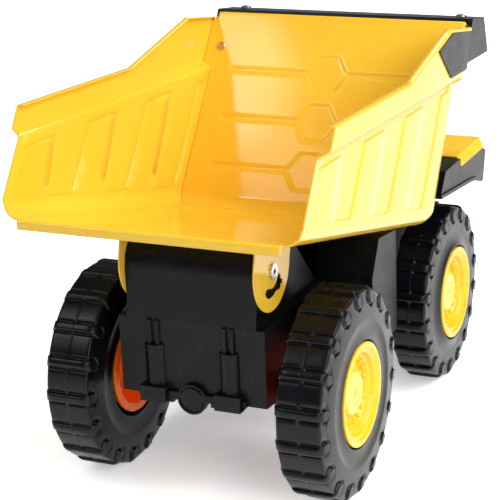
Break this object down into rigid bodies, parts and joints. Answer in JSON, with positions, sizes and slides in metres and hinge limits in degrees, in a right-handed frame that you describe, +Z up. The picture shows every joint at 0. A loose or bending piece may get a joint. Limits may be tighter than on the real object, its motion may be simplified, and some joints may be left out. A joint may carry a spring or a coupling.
{
  "type": "toy dump truck",
  "caption": "Large toy dump truck with a tipping pressed-steel bed, canopy over the cab, hollow lugged tyres and free-turning wheels.",
  "frame": {"origin": "middle of the footprint, on the plane the wheels stand on", "axes": "+Z up, -Y is the way the truck faces, +X is its left side"},
  "size_m": [0.2254, 0.416, 0.289],
  "materials": {
    "yellow_steel": "glossy yellow enamel on pressed steel",
    "yellow_plastic": "semi-gloss yellow moulding",
    "black_plastic": "satin black moulding",
    "tyre_plastic": "satin black blown tyre",
    "bright_steel": "plated steel",
    "dark_glazing": "dark glossy moulding",
    "clear_plastic": "pale glossy lens"
  },
  "bodies": {
    "truck": {"chassis": "black_plastic", "hinge_rivet_left": "bright_steel", "hinge_rivet_right": "bright_steel", "side_box_left": "black_plastic", "side_box_right": "black_plastic", "front_body": "black_plastic", "deck_left": "yellow_plastic", "deck_right": "yellow_plastic", "hood": "yellow_plastic", "cab": "yellow_plastic", "cab_windows": "dark_glazing", "grille": "black_plastic", "bumper": "black_plastic", "headlight_left": "clear_plastic", "headlight_right": "clear_plastic", "screw_nose_front_left": "bright_steel", "screw_nose_front_right": "bright_steel", "screw_nose_rear_left": "bright_steel", "screw_nose_rear_right": "bright_steel", "axle_rear": "bright_steel", "axle_front": "bright_steel", "push_nut_rear_left": "bright_steel", "push_nut_rear_right": "bright_steel", "push_nut_front_left": "bright_steel", "push_nut_front_right": "bright_steel"},
    "bed": {"bed_shell": "yellow_steel", "bed_front_panel": "yellow_steel", "canopy": "black_plastic", "hinge_ear_left": "yellow_steel", "hinge_ear_right": "yellow_steel", "side_plate_left": "black_plastic", "side_plate_right": "black_plastic", "panel_rivet_left": "bright_steel", "panel_rivet_right": "bright_steel", "canopy_rivet_left": "bright_steel", "canopy_rivet_right": "bright_steel"},
    "wheel_rear_left": {"tyre_rear_left": "tyre_plastic", "hub_rear_left": "yellow_plastic", "hub_cap_rear_left": "yellow_plastic"},
    "wheel_rear_right": {"tyre_rear_right": "tyre_plastic", "hub_rear_right": "yellow_plastic", "hub_cap_rear_right": "yellow_plastic"},
    "wheel_front_left": {"tyre_front_left": "tyre_plastic", "hub_front_left": "yellow_plastic", "hub_cap_front_left": "yellow_plastic"},
    "wheel_front_right": {"tyre_front_right": "tyre_plastic", "hub_front_right": "yellow_plastic", "hub_cap_front_right": "yellow_plastic"}
  },
  "joints": [
    {"name": "bed_tilt", "type": "hinge", "parent": "truck", "child": "bed", "pos_m": [0, 0.1234, 0.1642], "axis": [-1, 0, 0], "range_deg": [0, 54]},
    {"name": "wheel_rear_left_spin", "type": "hinge", "parent": "truck", "child": "wheel_rear_left", "pos_m": [0.087, 0.102, 0.0741], "axis": [1, 0, 0], "continuous": true},
    {"name": "wheel_rear_right_spin", "type": "hinge", "parent": "truck", "child": "wheel_rear_right", "pos_m": [-0.087, 0.102, 0.0741], "axis": [1, 0, 0], "continuous": true},
    {"name": "wheel_front_left_spin", "type": "hinge", "parent": "truck", "child": "wheel_front_left", "pos_m": [0.087, -0.1234, 0.0695], "axis": [1, 0, 0], "continuous": true},
    {"name": "wheel_front_right_spin", "type": "hinge", "parent": "truck", "child": "wheel_front_right", "pos_m": [-0.087, -0.1234, 0.0695], "axis": [1, 0, 0], "continuous": true}
  ]
}
